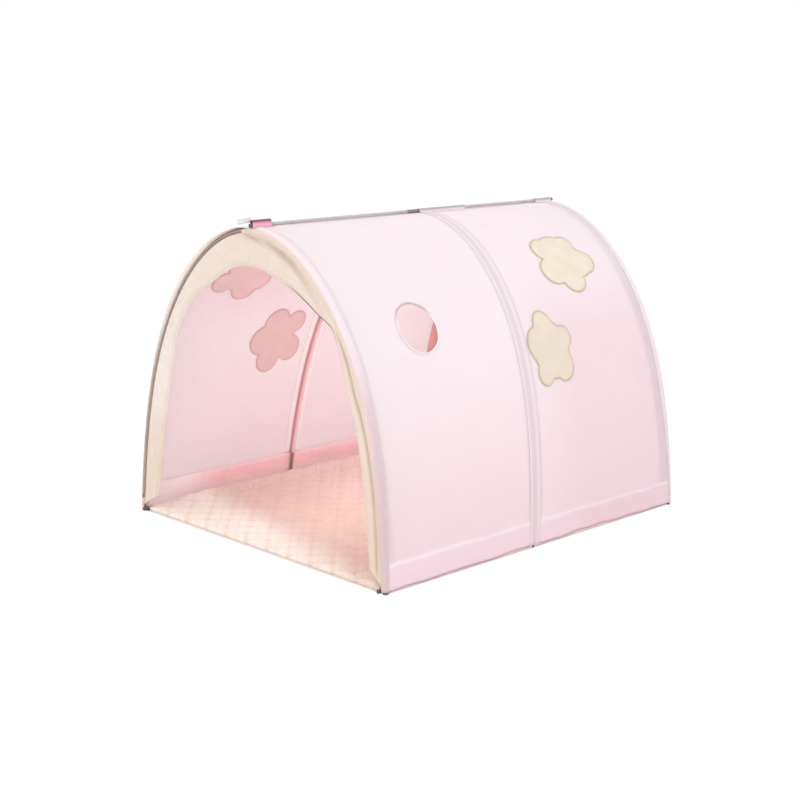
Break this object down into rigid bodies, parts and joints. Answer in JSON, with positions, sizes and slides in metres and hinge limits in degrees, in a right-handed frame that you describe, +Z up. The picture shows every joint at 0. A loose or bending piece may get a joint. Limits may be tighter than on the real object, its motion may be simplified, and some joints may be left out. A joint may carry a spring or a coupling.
{
  "type": "play tunnel",
  "caption": "Arched cloth play tunnel on sprung rods, with a ridge rod, base rods, a groundsheet, a quilted mat, round look-out holes and cloud patches.",
  "frame": {"origin": "centre of the footprint, on the floor", "axes": "+Y along the crawl way from the front opening to the rear one, +X to the right seen from the front, +Z up"},
  "size_m": [1.021, 1.209, 0.8795],
  "materials": {
    "glass_fibre_rod": "resin-bonded glass fibre, grey-brown, satin",
    "ferrule_steel": "drawn steel tube, bright",
    "rod_cap_rubber": "moulded, black, matt",
    "cover_cloth": "plain-woven canvas, very pale pink, matt",
    "facing_cloth": "plain-woven canvas, cream, matt",
    "pink_tape": "folded woven tape, strong pink",
    "groundsheet_cloth": "close-woven sheet, strong pink, matt",
    "patch_cloth": "sewn-on beige cotton, matt",
    "binding_tape": "narrow folded tape, pale grey",
    "mat_cloth": "quilted cotton over wadding, salmon cream, matt"
  },
  "bodies": {
    "tunnel": {"front_cover": "cover_cloth", "front_facing": "facing_cloth", "front_hoop_crown_rod": "glass_fibre_rod", "front_hoop_left_ferrule": "ferrule_steel", "front_hoop_left_rod": "glass_fibre_rod", "front_hoop_right_ferrule": "ferrule_steel", "front_hoop_right_rod": "glass_fibre_rod", "front_left_foot": "rod_cap_rubber", "front_lower_cloud": "patch_cloth", "front_porthole_binding": "binding_tape", "front_ridge_loop": "pink_tape", "front_right_foot": "rod_cap_rubber", "front_sleeve": "facing_cloth", "front_upper_cloud": "patch_cloth", "groundsheet": "groundsheet_cloth", "left_base_channel": "pink_tape", "left_seam_band": "cover_cloth", "middle_hoop_crown_rod": "glass_fibre_rod", "middle_hoop_left_ferrule": "ferrule_steel", "middle_hoop_left_rod": "glass_fibre_rod", "middle_hoop_right_ferrule": "ferrule_steel", "middle_hoop_right_rod": "glass_fibre_rod", "middle_left_tip": "rod_cap_rubber", "middle_ridge_loop": "pink_tape", "middle_right_tip": "rod_cap_rubber", "middle_sleeve": "pink_tape", "rear_cover": "cover_cloth", "rear_facing": "facing_cloth", "rear_hoop_crown_rod": "glass_fibre_rod", "rear_hoop_left_ferrule": "ferrule_steel", "rear_hoop_left_rod": "glass_fibre_rod", "rear_hoop_right_ferrule": "ferrule_steel", "rear_hoop_right_rod": "glass_fibre_rod", "rear_left_foot": "rod_cap_rubber", "rear_lower_cloud": "patch_cloth", "rear_porthole_binding": "binding_tape", "rear_ridge_loop": "pink_tape", "rear_right_foot": "rod_cap_rubber", "rear_sleeve": "facing_cloth", "rear_upper_cloud": "patch_cloth", "right_base_channel": "pink_tape", "right_seam_band": "cover_cloth"},
    "mat": {"quilted_mat": "mat_cloth"},
    "ridge_rod": {"ridge_rod_ferrule": "ferrule_steel", "ridge_rod_front_half": "glass_fibre_rod", "ridge_rod_front_tip": "rod_cap_rubber", "ridge_rod_rear_half": "glass_fibre_rod", "ridge_rod_rear_tip": "rod_cap_rubber"},
    "left_base_rod": {"left_base_rod_ferrule": "ferrule_steel", "left_base_rod_front_half": "glass_fibre_rod", "left_base_rod_front_tip": "rod_cap_rubber", "left_base_rod_rear_half": "glass_fibre_rod", "left_base_rod_rear_tip": "rod_cap_rubber"},
    "right_base_rod": {"right_base_rod_ferrule": "ferrule_steel", "right_base_rod_front_half": "glass_fibre_rod", "right_base_rod_front_tip": "rod_cap_rubber", "right_base_rod_rear_half": "glass_fibre_rod", "right_base_rod_rear_tip": "rod_cap_rubber"}
  },
  "joints": [
    {"name": "mat_slide", "type": "slide", "parent": "tunnel", "child": "mat", "axis": [0, -1, 0], "range_m": [0, 1.19]},
    {"name": "ridge_rod_slide", "type": "slide", "parent": "tunnel", "child": "ridge_rod", "axis": [0, -1, 0], "range_m": [0, 1.19]},
    {"name": "left_base_rod_slide", "type": "slide", "parent": "tunnel", "child": "left_base_rod", "axis": [0, -1, 0], "range_m": [0, 1.19]},
    {"name": "right_base_rod_slide", "type": "slide", "parent": "tunnel", "child": "right_base_rod", "axis": [0, -1, 0], "range_m": [0, 1.19]}
  ]
}
